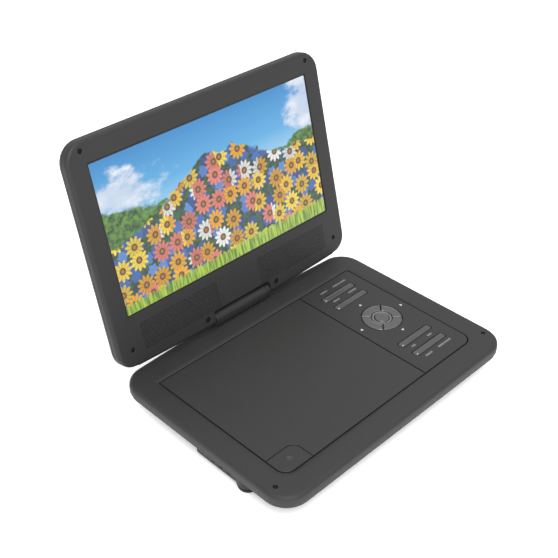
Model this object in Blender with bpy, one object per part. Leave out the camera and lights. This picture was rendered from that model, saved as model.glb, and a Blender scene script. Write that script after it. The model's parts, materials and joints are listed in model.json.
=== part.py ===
"""Portable DVD player with a swivelling, folding screen, modelled open as on a table.

Every number is in millimetres until it reaches a mesh, which is in metres with +Z up.
Device frame: X runs to the viewer's right, Y runs backwards from the base's back edge,
Z runs up from the base's top surface. Lid frame: X as before, Y runs from the screen to
the back of the lid, Z runs up the lid from the tilt axis.
"""

import math

import bmesh
import bpy
from mathutils import Matrix, Vector

MM = 0.001
GAP = 0.3

# Where the device frame stands in the world
TOP_Z = 29.0
BACK_Y = 69.84

# Base
HALF_WIDTH = 129.4
DEPTH = 187.0
BASE_CORNER = 21.0
BACK_BOW = 2.9
BACK_TRIM = 0.9
HINGE_BULGE = 5.6
EDGE_ROUND = 3.2
FLANGE_HEIGHT = 9.0
SKIN = 2.0
RECESS = 0.7
TUB_INSET = 12.4
TUB_FLOOR_Z = -25.5

# Opening in the top cover, shared by the disc door and the control panel
DECK_LEFT = -108.4
DECK_RIGHT = 109.0
DECK_FRONT = -165.1
DECK_BACK = -26.8
DECK_CORNER = 9.0
GROOVE = 0.9
DOOR_RIGHT = 47.4
DOOR_THICK = 2.0
BUTTON_SIZE = (27.6, 19.6)
BUTTON_BEND = 7.6

# Disc well and drive
SPINDLE = (-30.5, -96.0)
WELL_RADIUS = 62.0
WELL_FLOOR_Z = -8.3
SLED_RANGE_START = 23.0
SLED_GEAR = (10.0, -124.2)
SLED_MOTOR = (24.5, -66.5)
ROD_Z = -12.9

# Keys
KEY_X = (59.3, 97.0)
KEY_ROWS = (-44.2, -59.1, -129.9, -145.0)
KEY_DEPTH = 6.0
KEY_TOP_Z = -0.2
KEY_GAP = 0.6
KEY_BOTTOM_Z = -3.7
NAV = (78.1, -94.4)
NAV_RADIUS = 17.3
NAV_HOLE = 8.9
OK_RADIUS = 6.3

# Swivel and tilt hinge
AXIS_Y = -2.2
AXIS_Z = 6.3
LEAN = math.radians(13.9)
BARREL_RADIUS = 5.8
BARREL_HALF = 30.7
BARREL_FOOT = 6.0
BARREL_FOOT_ROUND = 3.0
CAP_WIDTH = 3.2
NECK_RADIUS = 5.2
SHAFT_RADIUS = 1.25

# Lid, in its own frame
LID_HALF_WIDTH = 128.4
LID_TOP = 185.5
LID_BOTTOM = -1.4
LID_TOP_CORNER = 17.5
LID_LOW_CORNER = 15.0
LID_BOW = 2.0
LID_FRONT = -5.7
LID_BACK = 5.9
LID_SPLIT = 1.0
LID_SOLID_EDGE = 7.6
SCREEN_HALF = 111.7
SCREEN_LOW = 41.7
SCREEN_HIGH = 167.8
NOTCH_HALF = 31.5
NOTCH_TOP = 8.4
PLUG_RADIUS = 1.6
PLUGS = ((-114.4, 14.9), (114.4, 14.9), (-114.4, 178.3), (114.4, 178.3))
CAP_HOLE_RADIUS = 2.4
CAPS = ((-39.4, 4.6), (39.4, 4.6))

# Side sockets
POD_X = -123.4
POD_FRONT = -141.0
POD_BACK = -84.0
POD_FLOOR_Z = -22.3
POD_SOCKET_Z = -16.4
FOOT_BOSS = (-115.3, -134.0)
FOOT_RADIUS = 8.2
SOCKETS = {"dc_jack": (-122.0, 3.4), "av_jack": (-113.5, 3.2), "headphone_jack": (-105.0, 3.2)}
SWITCH_Y = -95.5
WHEEL = (-114.6, -71.0, -16.4)
USB = (-66.0, -15.6)

# Disc door hinge and the rubber bumpers at the front corners
DOOR_AXIS_Y = DECK_BACK - 1.5
DOOR_AXIS_Z = -2.7
BUMPER_X = (-121.0, 121.0)
BUMPER_Y = -167.8
BUMPER_RADIUS = 1.7

CORNER_STEPS = 8
BACK_SAMPLES = (104, 80, 50, 26, 17, 13, 10, 7, 3.5, 0, -3.5, -7, -10, -13, -17, -26, -50, -80, -104)


# ---------------------------------------------------------------- scene and materials

def clear_scene():
    for old in list(bpy.data.objects):
        bpy.data.objects.remove(old, do_unlink=True)


def material(name, colour, roughness=0.5, metallic=0.0, glow=0.0):
    made = bpy.data.materials.new(name)
    made.use_nodes = True
    shader = made.node_tree.nodes["Principled BSDF"]
    shader.inputs["Base Color"].default_value = (*colour, 1.0)
    shader.inputs["Roughness"].default_value = roughness
    shader.inputs["Metallic"].default_value = metallic
    if glow:
        shader.inputs["Emission Color"].default_value = (*colour, 1.0)
        shader.inputs["Emission Strength"].default_value = glow
    return made


BODY_GREY = (0.062, 0.062, 0.064)
DARK_GREY = (0.030, 0.030, 0.031)
KEY_GREY = (0.165, 0.168, 0.172)
STEEL = (0.55, 0.56, 0.58)
BOARD_GREEN = (0.020, 0.120, 0.050)
RUBBER = (0.015, 0.015, 0.016)
CREAM = (0.62, 0.60, 0.52)
SILVER = (0.62, 0.63, 0.65)


# ---------------------------------------------------------------- frames

def device(x, y, z):
    return Vector((x, y + BACK_Y, z + TOP_Z)) * MM


def empty(name, place, turn=0.0, parent=None):
    made = bpy.data.objects.new(name, None)
    made.location = place
    made.rotation_euler = (turn, 0.0, 0.0)
    made.parent = parent
    bpy.context.scene.collection.objects.link(made)
    return made


# ---------------------------------------------------------------- mesh helpers

def add_object(name, bm, finish, origin=(0, 0, 0), parent=None):
    """Makes an object whose mesh is given in its frame, in millimetres, about origin."""
    bmesh.ops.remove_doubles(bm, verts=bm.verts, dist=0.0005)
    bmesh.ops.recalc_face_normals(bm, faces=bm.faces)
    shift = Vector(origin)
    for vert in bm.verts:
        vert.co = (vert.co - shift) * MM
    mesh = bpy.data.meshes.new(name)
    bm.to_mesh(mesh)
    bm.free()
    mesh.shade_smooth()
    mesh.set_sharp_from_angle(angle=math.radians(35))
    made = bpy.data.objects.new(name, mesh)
    made.location = shift * MM if parent else device(*origin)
    made.parent = parent
    if finish:
        mesh.materials.append(material(name, **finish))
    bpy.context.scene.collection.objects.link(made)
    return made


def loft(rings, closed=False):
    """Skins a list of equally long rings of points; open lofts get a face on each end."""
    bm = bmesh.new()
    rows = [[bm.verts.new(point) for point in ring] for ring in rings]
    count = len(rows[0])
    pairs = list(zip(rows, rows[1:]))
    if closed:
        pairs.append((rows[-1], rows[0]))
    for low, high in pairs:
        for i in range(count):
            j = (i + 1) % count
            bm.faces.new((low[i], low[j], high[j], high[i]))
    if not closed:
        bm.faces.new(rows[0][::-1])
        bm.faces.new(rows[-1])
    return bm


def flat(points, height):
    return [(x, y, height) for x, y in points]


def upright(points, depth):
    return [(x, depth, z) for x, z in points]


def prism(points, low, high, place=flat):
    return loft([place(points, low), place(points, high)])


def bevelled_prism(points_at, low, high, bevel, place=flat):
    """A prism whose high edge is bevelled; points_at(inset) gives its outline."""
    return loft([
        place(points_at(0.0), low),
        place(points_at(0.0), high - bevel),
        place(points_at(bevel), high),
    ])


def circle(centre, radius, steps=32, start=0.0):
    return [
        (centre[0] + radius * math.cos(start + math.tau * i / steps),
         centre[1] + radius * math.sin(start + math.tau * i / steps))
        for i in range(steps)
    ]


def box(low, high):
    corners = [(low[0], low[1]), (high[0], low[1]), (high[0], high[1]), (low[0], high[1])]
    return prism(corners, low[2], high[2])


def turned(profile, centre=(0, 0, 0), axis="Z", steps=32):
    """Turns a profile of (radius, height) pairs about an axis through centre."""
    rings = [flat(circle((0, 0), radius, steps), height) for radius, height in profile]
    bm = loft(rings)
    if axis == "X":
        bmesh.ops.rotate(bm, verts=bm.verts, matrix=Matrix.Rotation(math.pi / 2, 3, "Y"))
    if axis == "Y":
        bmesh.ops.rotate(bm, verts=bm.verts, matrix=Matrix.Rotation(-math.pi / 2, 3, "X"))
    bmesh.ops.translate(bm, verts=bm.verts, vec=Vector(centre))
    return bm


def ring_turned(inner, outer, low, high, centre=(0, 0, 0), steps=32):
    """A flat washer about a vertical axis through centre."""
    cx, cy, cz = centre
    corners = ((inner, low), (outer, low), (outer, high), (inner, high))
    return loft([flat(circle((cx, cy), r, steps), h + cz) for r, h in corners], closed=True)


def merge(target, *others):
    """Adds other closed meshes to a mesh as loose shells, for a union or a cutter."""
    for other in others:
        mesh = bpy.data.meshes.new("loose")
        other.to_mesh(mesh)
        other.free()
        target.from_mesh(mesh)
        bpy.data.meshes.remove(mesh)
    return target


def boolean(made, tool_mesh, operation="DIFFERENCE"):
    """Joins or cuts an object with a wire cutter that the build leaves out."""
    tool = add_object(f"{made.name}_{operation.lower()}_{len(made.modifiers)}", tool_mesh, None)
    tool.parent = made.parent
    if made.parent:
        tool.location = (0, 0, 0)
    tool.hide_render = True
    tool.hide_set(True)
    tool.display_type = "WIRE"
    step = made.modifiers.new(operation.title(), "BOOLEAN")
    step.operation = operation
    step.solver = "EXACT"
    step.object = tool
    return made


# ---------------------------------------------------------------- outlines

def arc(centre_x, centre_y, radius, start, steps=CORNER_STEPS):
    return [
        (centre_x + radius * math.cos(start + math.pi / 2 * i / steps),
         centre_y + radius * math.sin(start + math.pi / 2 * i / steps))
        for i in range(steps + 1)
    ]


def rounded(left, right, low, high, radii, edge=None):
    """A rounded rectangle, counterclockwise from its low left corner.

    radii are for low left, low right, high right and high left. edge, where given, is a
    pair: the X of extra points along the high side and a function of X for their rise.
    """
    r0, r1, r2, r3 = radii
    points = arc(left + r0, low + r0, r0, math.pi)
    points += arc(right - r1, low + r1, r1, 1.5 * math.pi)
    points += arc(right - r2, high - r2, r2, 0.0)
    if edge:
        samples, rise = edge
        straight = min(right - r2, -left - r3) - 1.0
        scale = min(1.0, straight / max(samples))
        points += [(x * scale, high + rise(x * scale)) for x in samples]
    points += arc(left + r3, high - r3, r3, 0.5 * math.pi)
    return points


def back_rise(x):
    """How far the base's back edge stands behind a straight line between its corners."""
    bow = BACK_BOW * (1 - (x / 108.0) ** 2)
    return bow + HINGE_BULGE * math.exp(-((x / 11.5) ** 4))


def base_outline(inset):
    radius = max(BASE_CORNER - inset, 2.0)
    return rounded(
        -HALF_WIDTH + inset, HALF_WIDTH - inset, -DEPTH + inset, -inset - BACK_TRIM,
        (radius,) * 4, (BACK_SAMPLES, back_rise),
    )


def tub_outline(inset):
    radius = max(BASE_CORNER - inset * 0.6, 3.0)
    return rounded(
        -HALF_WIDTH + inset, HALF_WIDTH - inset, -DEPTH + inset + 2.0, -inset - 1.0,
        (radius,) * 4, (BACK_SAMPLES, lambda x: 0.0),
    )


def deck_opening(growth):
    big = DECK_CORNER + growth
    small = 0.6 + growth
    return rounded(
        DECK_LEFT - growth, DECK_RIGHT + growth, DECK_FRONT - growth, DECK_BACK + growth,
        (big, big, small, small), (BACK_SAMPLES, lambda x: 0.0),
    )


def lid_outline(inset, solid_edge=0.0):
    """The lid's outline; its lower side bows down between the corners."""
    top = max(LID_TOP_CORNER - inset, 1.0)
    low_corner = max(LID_LOW_CORNER - inset, 1.0)
    low = LID_BOTTOM + 1.2 + inset + solid_edge

    def sag(x):
        return LID_BOW * ((x / 100.0) ** 2 - 1.0) - 1.2

    upper = rounded(
        -LID_HALF_WIDTH + inset, LID_HALF_WIDTH - inset, -LID_TOP + inset, -low,
        (top, top, low_corner, low_corner), (BACK_SAMPLES, lambda x: -sag(x)),
    )
    return [(x, -z) for x, z in upper]


def screen_outline(shrink):
    radius = 0.8
    points = rounded(
        -SCREEN_HALF + shrink, SCREEN_HALF - shrink, -SCREEN_HIGH + shrink,
        -SCREEN_LOW - shrink, (radius,) * 4, (BACK_SAMPLES, lambda x: 0.0),
    )
    return [(x, -z) for x, z in points]


# ---------------------------------------------------------------- base covers

def base_top_cover():
    s = EDGE_ROUND
    rings = [
        flat(base_outline(0.6), -FLANGE_HEIGHT),
        flat(base_outline(0.0), -FLANGE_HEIGHT + 1.2),
        flat(base_outline(0.0), -s),
        flat(base_outline(0.13 * s), -0.5 * s),
        flat(base_outline(0.5 * s), -0.13 * s),
        flat(base_outline(s), 0.0),
        flat(deck_opening(5.2), 0.0),
        flat(deck_opening(GROOVE + 0.5), -RECESS),
        flat(deck_opening(GROOVE), -RECESS - 0.4),
        flat(deck_opening(GROOVE), -4.0),
        flat(deck_opening(GROOVE + 1.8), -4.0),
        flat(deck_opening(GROOVE + 1.8), -SKIN - RECESS),
        flat(base_outline(SKIN + 1.2), -SKIN - RECESS),
        flat(base_outline(SKIN), -SKIN - RECESS - 1.2),
        flat(base_outline(SKIN), -FLANGE_HEIGHT),
    ]
    cover = add_object("base_top_cover", loft(rings, closed=True),
                       dict(colour=BODY_GREY, roughness=0.62))
    post_hole = turned([(NECK_RADIUS + GAP, -20), (NECK_RADIUS + GAP, 5)], (0, AXIS_Y, 0))
    pin_hole = turned([(1.1, -2.4), (1.1, 3.0)], (DECK_LEFT - 1.0, DOOR_AXIS_Y, DOOR_AXIS_Z), "X", 12)
    bumper_holes = [
        turned([(BUMPER_RADIUS + GAP, -1.2), (BUMPER_RADIUS + GAP, 2.0)], (x, BUMPER_Y, 0), steps=20)
        for x in BUMPER_X
    ]
    boolean(cover, merge(post_hole, pin_hole, *bumper_holes))


def base_bottom_cover():
    rings = [
        flat(tub_outline(18.8), TUB_FLOOR_Z + SKIN),
        flat(tub_outline(TUB_INSET + 4.6), TUB_FLOOR_Z + SKIN + 1.8),
        flat(tub_outline(TUB_INSET + 1.6), -11.2),
        flat(base_outline(4.6), -10.9),
        flat(base_outline(2.4), -10.0),
        flat(base_outline(2.4), -FLANGE_HEIGHT - GAP),
        flat(base_outline(0.7), -FLANGE_HEIGHT - GAP),
        flat(base_outline(1.0), -10.8),
        flat(base_outline(4.0), -12.4),
        flat(tub_outline(TUB_INSET), -13.2),
        flat(tub_outline(TUB_INSET + 2.4), -22.5),
        flat(tub_outline(TUB_INSET + 3.6), -24.7),
        flat(tub_outline(TUB_INSET + 6.0), TUB_FLOOR_Z),
    ]
    tub = add_object("base_bottom_cover", loft(rings), dict(colour=DARK_GREY, roughness=0.6))
    pod = prism(rounded(POD_X, -112.0, POD_FRONT, POD_BACK, (7, 1, 1, 4)), POD_FLOOR_Z, -11.6)
    boolean(tub, pod, "UNION")
    boss = turned([(FOOT_RADIUS - 0.6, TUB_FLOOR_Z), (FOOT_RADIUS + 0.8, TUB_FLOOR_Z + 1.4),
                   (FOOT_RADIUS + 0.8, -16.0)], (*FOOT_BOSS, 0))
    boolean(tub, boss, "UNION")
    hollow = box((POD_X + 7.2, -127.5, POD_FLOOR_Z + 1.8), (-108.0, POD_BACK - 2.0, -12.9))
    pockets = [
        turned([(radius + GAP, -30), (radius + GAP, 8)], (POD_X + 6.0, y, POD_SOCKET_Z), "X", 24)
        for y, radius in SOCKETS.values()
    ]
    switch_slot = box((POD_X - 2, SWITCH_Y - 5.4, POD_SOCKET_Z - 1.6),
                      (-108.0, SWITCH_Y + 5.4, POD_SOCKET_Z + 1.6))
    wheel_slot = box((-124, WHEEL[1] - 7.3, WHEEL[2] - 1.7), (-106, WHEEL[1] + 7.3, WHEEL[2] + 1.7))
    usb_slot = box((108, USB[0] - 6.9, USB[1] - 2.9), (124, USB[0] + 6.9, USB[1] + 2.9))
    boolean(tub, hollow)
    boolean(tub, merge(*pockets))
    boolean(tub, merge(switch_slot, wheel_slot, usb_slot))


def feet():
    spots = {
        "foot_front_left": FOOT_BOSS,
        "foot_front_right": (101.0, -150.0),
        "foot_back_left": (-101.0, -34.0),
        "foot_back_right": (101.0, -34.0),
    }
    profile = [
        (FOOT_RADIUS - 1.8, -TOP_Z),
        (FOOT_RADIUS - 0.6, -TOP_Z + 0.5),
        (FOOT_RADIUS - 0.1, -TOP_Z + 1.4),
        (FOOT_RADIUS, TUB_FLOOR_Z - GAP),
    ]
    for name, (x, y) in spots.items():
        add_object(name, turned(profile, (x, y, 0), steps=24), dict(colour=RUBBER, roughness=0.85))


def bumpers():
    profile = [(BUMPER_RADIUS, -0.9), (BUMPER_RADIUS, -0.4), (BUMPER_RADIUS - 0.5, -0.1)]
    for side, x in zip(("left", "right"), BUMPER_X):
        add_object(f"base_bumper_{side}", turned(profile, (x, BUMPER_Y, 0), steps=16),
                   dict(colour=RUBBER, roughness=0.8))


# ---------------------------------------------------------------- door, panel and keys

def door_outline(inset):
    """The door without its front left corner, where the open button sits."""
    left = DECK_LEFT + inset
    front = DECK_FRONT + inset
    notch_x = DECK_LEFT + BUTTON_SIZE[0] + 0.5 + inset
    notch_y = DECK_FRONT + BUTTON_SIZE[1] + 0.5 + inset
    bend = arc(notch_x - BUTTON_BEND, notch_y - BUTTON_BEND, BUTTON_BEND, 0.0)
    points = [(notch_x, front)]
    points += [(DOOR_RIGHT - inset, front), (DOOR_RIGHT - inset, DECK_BACK - inset)]
    points += [(left, DECK_BACK - inset), (left, notch_y)]
    points += bend[::-1]
    return points


def button_outline(inset):
    left = DECK_LEFT + inset
    front = DECK_FRONT + inset
    right = DECK_LEFT + BUTTON_SIZE[0] - inset
    back = DECK_FRONT + BUTTON_SIZE[1] - inset
    return rounded(left, right, front, back, (DECK_CORNER - inset, 0.4, BUTTON_BEND - inset, 0.4))


def disc_door():
    hinge = (0.0, DOOR_AXIS_Y, DOOR_AXIS_Z)
    low = -RECESS - DOOR_THICK
    plate = bevelled_prism(door_outline, low, -RECESS, 0.35)
    door = add_object("disc_door", plate, dict(colour=BODY_GREY, roughness=0.6), hinge)
    for x in (DECK_LEFT + 1.6, DOOR_RIGHT - 8.6):
        lug = box((x, DOOR_AXIS_Y - 3.2, DOOR_AXIS_Z - 1.2), (x + 7.0, DOOR_AXIS_Y + 0.9, low + 0.5))
        boolean(door, lug, "UNION")
    for x, reach in ((DECK_LEFT, (-2.6, 3.0)), (DOOR_RIGHT, (-3.0, 2.9))):
        pin = turned([(0.8, reach[0]), (0.8, reach[1])], (x, DOOR_AXIS_Y, DOOR_AXIS_Z), "X", 12)
        boolean(door, pin, "UNION")
    catch = box((-76.0, DECK_FRONT + 2.6, low - 2.6), (-66.0, DECK_FRONT + 4.4, low + 0.5))
    boolean(door, catch, "UNION")


def open_button_and_latch():
    button = bevelled_prism(button_outline, -3.3, -RECESS, 0.35)
    add_object("open_button", button, dict(colour=BODY_GREY, roughness=0.6),
               (DECK_LEFT + BUTTON_SIZE[0] / 2, DECK_FRONT + BUTTON_SIZE[1] / 2, -RECESS))
    latch = box((-75.5, DECK_FRONT + 4.9, -5.6), (-66.5, DECK_FRONT + 8.0, -4.6))
    add_object("door_latch", latch, dict(colour=CREAM, roughness=0.5), (-71.0, DECK_FRONT + 6, -5))


def key_outline(row, growth):
    return rounded(
        KEY_X[0] - growth, KEY_X[1] + growth,
        row - KEY_DEPTH / 2 - growth, row + KEY_DEPTH / 2 + growth,
        (1.0 + growth,) * 4,
    )


def control_panel():
    def outline(inset):
        big = DECK_CORNER - inset
        return rounded(DOOR_RIGHT + GROOVE + inset, DECK_RIGHT - inset, DECK_FRONT + inset,
                       DECK_BACK - inset, (0.5, big, 1.6, 0.5))

    low = -RECESS - DOOR_THICK
    panel = add_object("control_panel", bevelled_prism(outline, low, -RECESS, 0.3),
                       dict(colour=BODY_GREY, roughness=0.6))
    boss_x = DOOR_RIGHT + GROOVE + 0.2
    boss = box((boss_x, DOOR_AXIS_Y - 2.4, DOOR_AXIS_Z - 2.0), (boss_x + 2.6, DECK_BACK - 0.4, low + 0.6))
    boolean(panel, boss, "UNION")
    pin_hole = turned([(1.1, -3.0), (1.1, 2.4)], (boss_x + 1.2, DOOR_AXIS_Y, DOOR_AXIS_Z), "X", 12)
    boolean(panel, pin_hole)
    holes = [prism(key_outline(row, KEY_GAP), low - 2, 1) for row in KEY_ROWS]
    nav_hole = turned([(NAV_RADIUS + KEY_GAP, low - 2), (NAV_RADIUS + KEY_GAP, 1)], (*NAV, 0), steps=48)
    boolean(panel, merge(nav_hole, *holes))


def bar_keys():
    names = ("menu_key", "mode_key", "track_key", "volume_key")
    middle = (KEY_X[0] + KEY_X[1]) / 2
    for name, row in zip(names, KEY_ROWS):
        key = bevelled_prism(lambda inset: key_outline(row, -inset), KEY_BOTTOM_Z, KEY_TOP_Z, 0.5)
        add_object(name, key, dict(colour=KEY_GREY, roughness=0.45), (middle, row, KEY_BOTTOM_Z))


def sector(inset, quarter, steps=8):
    """One quarter of the ring between the centre key and the rim, its sides pulled in."""
    outer = NAV_RADIUS - inset
    inner = NAV_HOLE + inset
    half_gap = 0.35 + inset
    points = []
    for radius, direction in ((outer, 1), (inner, -1)):
        spread = math.pi / 4 - math.asin(half_gap / radius)
        angles = [quarter + direction * spread * (2 * i / steps - 1) for i in range(steps + 1)]
        points += [(NAV[0] + radius * math.cos(t), NAV[1] + radius * math.sin(t)) for t in angles]
    return points


def nav_keys():
    for number, name in enumerate(("nav_right", "nav_up", "nav_left", "nav_down")):
        quarter = number * math.pi / 2
        key = bevelled_prism(lambda inset: sector(inset, quarter), KEY_BOTTOM_Z, KEY_TOP_Z, 0.5)
        spot = (NAV[0] + 13 * math.cos(quarter), NAV[1] + 13 * math.sin(quarter), KEY_BOTTOM_Z)
        add_object(name, key, dict(colour=KEY_GREY, roughness=0.45), spot)
    ok = turned([(OK_RADIUS, KEY_BOTTOM_Z), (OK_RADIUS, KEY_TOP_Z - 0.5),
                 (OK_RADIUS - 0.5, KEY_TOP_Z), (OK_RADIUS - 2.5, KEY_TOP_Z - 0.15)], (*NAV, 0))
    add_object("ok_key", ok, dict(colour=KEY_GREY, roughness=0.45), (*NAV, KEY_BOTTOM_Z))
    ring = loft([
        flat(circle(NAV, radius, 32), height)
        for radius, height in ((6.75, -4.2), (8.5, -4.2), (8.5, -0.7), (7.9, -0.4), (6.75, -0.8))
    ], closed=True)
    add_object("nav_ring", ring, dict(colour=SILVER, roughness=0.4))


def keypad():
    board = prism(rounded(55.5, 105.5, -158.0, -33.0, (2,) * 4), -6.6, -5.0)
    add_object("keypad_board", board, dict(colour=BOARD_GREEN, roughness=0.5))


# ---------------------------------------------------------------- disc well and drive

def disc_deck():
    def outline(growth):
        return rounded(DECK_LEFT - growth, DOOR_RIGHT + growth, DECK_FRONT - growth,
                       DECK_BACK + growth, (9, 1, 1, 3))

    deck = add_object("disc_deck", prism(outline(0.3), WELL_FLOOR_Z - 1.5, -5.0),
                      dict(colour=DARK_GREY, roughness=0.55))
    well = turned([(WELL_RADIUS, WELL_FLOOR_Z), (WELL_RADIUS, 0)], (*SPINDLE, 0), steps=56)
    hub_hole = turned([(15.6, -20), (15.6, WELL_FLOOR_Z + 1)], (*SPINDLE, 0), steps=32)
    slot = box((SPINDLE[0] + 14, SPINDLE[1] - 10, -20), (SPINDLE[0] + 66, SPINDLE[1] + 10, -7.5))
    latch_gap = box((-77.5, DECK_FRONT - 3, WELL_FLOOR_Z), (-64.5, DECK_FRONT + 9.5, 0))
    button_well = box((-112, DECK_FRONT - 3, WELL_FLOOR_Z), (-80.2, DECK_FRONT + 19, 0))
    for cutter in (well, latch_gap, button_well, hub_hole, slot):
        boolean(deck, cutter)


def disc_drive():
    steel = dict(colour=STEEL, roughness=0.35, metallic=1.0)
    chassis = add_object("loader_chassis", box((-58, -134, -20.6), (45, -60, -19.4)), steel)
    for x in (-15.6, 37.5):
        wall = box((x, -124, -20.0), (x + 1.2, -68, ROD_Z + 2.6))
        boolean(chassis, wall, "UNION")
    rod_ys = (SPINDLE[1] - 17.0, SPINDLE[1] + 17.0)
    for y in rod_ys:
        hole = turned([(1.5 + GAP, -3), (1.5 + GAP, 60)], (-16, y, ROD_Z), "X", 16)
        boolean(chassis, hole)
    for name, y in zip(("guide_rod_front", "guide_rod_back"), rod_ys):
        rod = turned([(1.5, -2), (1.5, 56)], (-15.6, y, ROD_Z), "X", 16)
        add_object(name, rod, dict(colour=STEEL, roughness=0.2, metallic=1.0))

    motor = turned([(12, -19.1), (12, -12.0), (11, -11.0)], (*SPINDLE, 0))
    add_object("spindle_motor", motor, steel)
    hub = turned([(1.2, -10.7), (1.2, -9.4), (14.0, -9.2), (14.0, -7.2), (7.6, -7.0), (7.4, -5.4),
                  (5.0, -4.6)], (*SPINDLE, 0))
    add_object("spindle_hub", hub, dict(colour=(0.03, 0.03, 0.03), roughness=0.5), (*SPINDLE, -9))

    start = SPINDLE[0] + SLED_RANGE_START
    sled = add_object("pickup_sled",
                      box((start - 6.5, -117.0, -16.2), (start + 6.5, -75.0, -10.8)),
                      dict(colour=DARK_GREY, roughness=0.5), (start, SPINDLE[1], -13))
    bores = [turned([(1.5 + GAP, -20), (1.5 + GAP, 20)], (start, y, ROD_Z), "X", 16) for y in rod_ys]
    boolean(sled, merge(*bores))
    lens = turned([(3.4, -10.5), (3.4, -9.6), (2.4, -9.1)], (start, SPINDLE[1], 0), steps=20)
    add_object("pickup_lens", lens, dict(colour=(0.12, 0.10, 0.30), roughness=0.08))

    gear = turned([(6.0, -18.4), (6.0, -16.8)], (*SLED_GEAR, 0), steps=24)
    add_object("sled_gear", gear, dict(colour=CREAM, roughness=0.45), (*SLED_GEAR, -17.6))
    sled_motor = turned([(5.2, -19.1), (5.2, -11.0), (1.0, -10.8)], (*SLED_MOTOR, 0), steps=24)
    add_object("sled_motor", sled_motor, dict(colour=STEEL, roughness=0.3, metallic=1.0))


# ---------------------------------------------------------------- electronics

def boards_and_battery():
    board = prism(rounded(52, 102, -164, -52, (1,) * 4), -14.4, -12.8)
    add_object("main_board", board, dict(colour=BOARD_GREEN, roughness=0.5))
    cells = bevelled_prism(lambda i: rounded(54 + i, 101 - i, -160 + i, -40 - i, (3,) * 4),
                           -23.0, -15.2, 1.0)
    add_object("battery_pack", cells, dict(colour=(0.02, 0.09, 0.30), roughness=0.4))
    jack_board = box((-107.0, -124, -21.5), (-92.0, -62, -20.0))
    add_object("jack_board", jack_board, dict(colour=BOARD_GREEN, roughness=0.5))


def socket_plug(name, y, radius):
    """A round socket: a barrel lying along X whose outer end is open."""
    mouth = radius - 0.9
    profile = [(radius, 0.0), (radius, 13.0)]
    body = turned(profile, (POD_X + 0.3, y, POD_SOCKET_Z), "X", 24)
    made = add_object(name, body, dict(colour=(0.02, 0.02, 0.02), roughness=0.4))
    bore = turned([(mouth, -4), (mouth, 11.0)], (POD_X, y, POD_SOCKET_Z), "X", 24)
    boolean(made, bore)


def side_controls():
    for name, (y, radius) in SOCKETS.items():
        socket_plug(name, y, radius)
    pin_foot = (POD_X + 0.6, SOCKETS["dc_jack"][0], POD_SOCKET_Z)
    pin = turned([(0.5, 4.0), (0.5, 13.0)], pin_foot, "X", 12)
    boolean(bpy.data.objects["dc_jack"], pin, "UNION")

    switch = box((POD_X - 0.9, SWITCH_Y - 3.5, POD_SOCKET_Z - 1.2),
                 (POD_X + 8.0, SWITCH_Y + 0.5, POD_SOCKET_Z + 1.2))
    add_object("power_switch", switch, dict(colour=KEY_GREY, roughness=0.5),
               (POD_X, SWITCH_Y - 1.5, POD_SOCKET_Z))
    wheel = turned([(6.4, -1.3), (7.0, -0.8), (7.0, 0.8), (6.4, 1.3)], WHEEL, steps=32)
    add_object("volume_wheel", wheel, dict(colour=(0.05, 0.05, 0.05), roughness=0.6), WHEEL)

    y, z = USB
    shell = box((104.0, y - 6.6, z - 2.6), (116.4, y + 6.6, z + 2.6))
    usb = add_object("usb_port", shell, dict(colour=STEEL, roughness=0.3, metallic=1.0))
    boolean(usb, box((105.0, y - 6.1, z - 2.2), (118.0, y + 6.1, z + 2.2)))


# ---------------------------------------------------------------- swivel hinge

def barrel_outline(inset):
    """A circle about the tilt axis whose front runs straight down to a rounded foot."""
    radius = BARREL_RADIUS - inset
    corner = BARREL_FOOT_ROUND - inset
    steps = 24
    points = [
        (radius * math.cos(turn), radius * math.sin(turn))
        for turn in (math.pi * (1.5 * i / steps - 0.5) for i in range(steps + 1))
    ]
    return points + arc(-radius + corner, -BARREL_FOOT + inset + corner, corner, math.pi)


def along_axis(points, x):
    return [(x, y, AXIS_Z + z) for y, z in points]


def swivel_hinge(swivel):
    plastic = dict(colour=BODY_GREY, roughness=0.5)
    axis = (0, 0, AXIS_Z)
    half = BARREL_HALF - CAP_WIDTH - GAP
    barrel = loft([
        along_axis(barrel_outline(inset), x)
        for inset, x in ((0.3, -half), (0.0, -half + 0.3), (0.0, half - 0.3), (0.3, half))
    ])
    made = add_object("hinge_barrel", barrel, plastic, parent=swivel)
    neck = turned([(NECK_RADIUS, -8.0), (NECK_RADIUS, AXIS_Z - 3.0)], (0, 0, 0), steps=32)
    boolean(made, neck, "UNION")
    bore = turned([(SHAFT_RADIUS + GAP, -40), (SHAFT_RADIUS + GAP, 40)], axis, "X", 20)
    boolean(made, bore)
    for side, name in ((-1, "barrel_cap_left"), (1, "barrel_cap_right")):
        inner, outer = sorted((side * (BARREL_HALF - CAP_WIDTH), side * BARREL_HALF))
        end = prism(barrel_outline(0.1), inner, outer, along_axis)
        cap = add_object(name, end, plastic, parent=swivel)
        hole = turned([(SHAFT_RADIUS + GAP, inner - 2), (SHAFT_RADIUS + GAP, outer + 2)], axis, "X", 20)
        boolean(cap, hole)
    shaft = turned([(SHAFT_RADIUS, -46), (SHAFT_RADIUS, 46)], axis, "X", 20)
    add_object("tilt_shaft", shaft, dict(colour=STEEL, roughness=0.25, metallic=1.0), parent=swivel)
    steel = dict(colour=STEEL, roughness=0.35, metallic=1.0)
    washer = ring_turned(NECK_RADIUS + GAP, 6.8, -4.0, -3.1)
    add_object("swivel_washer", washer, steel, parent=swivel)


# ---------------------------------------------------------------- lid

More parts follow.
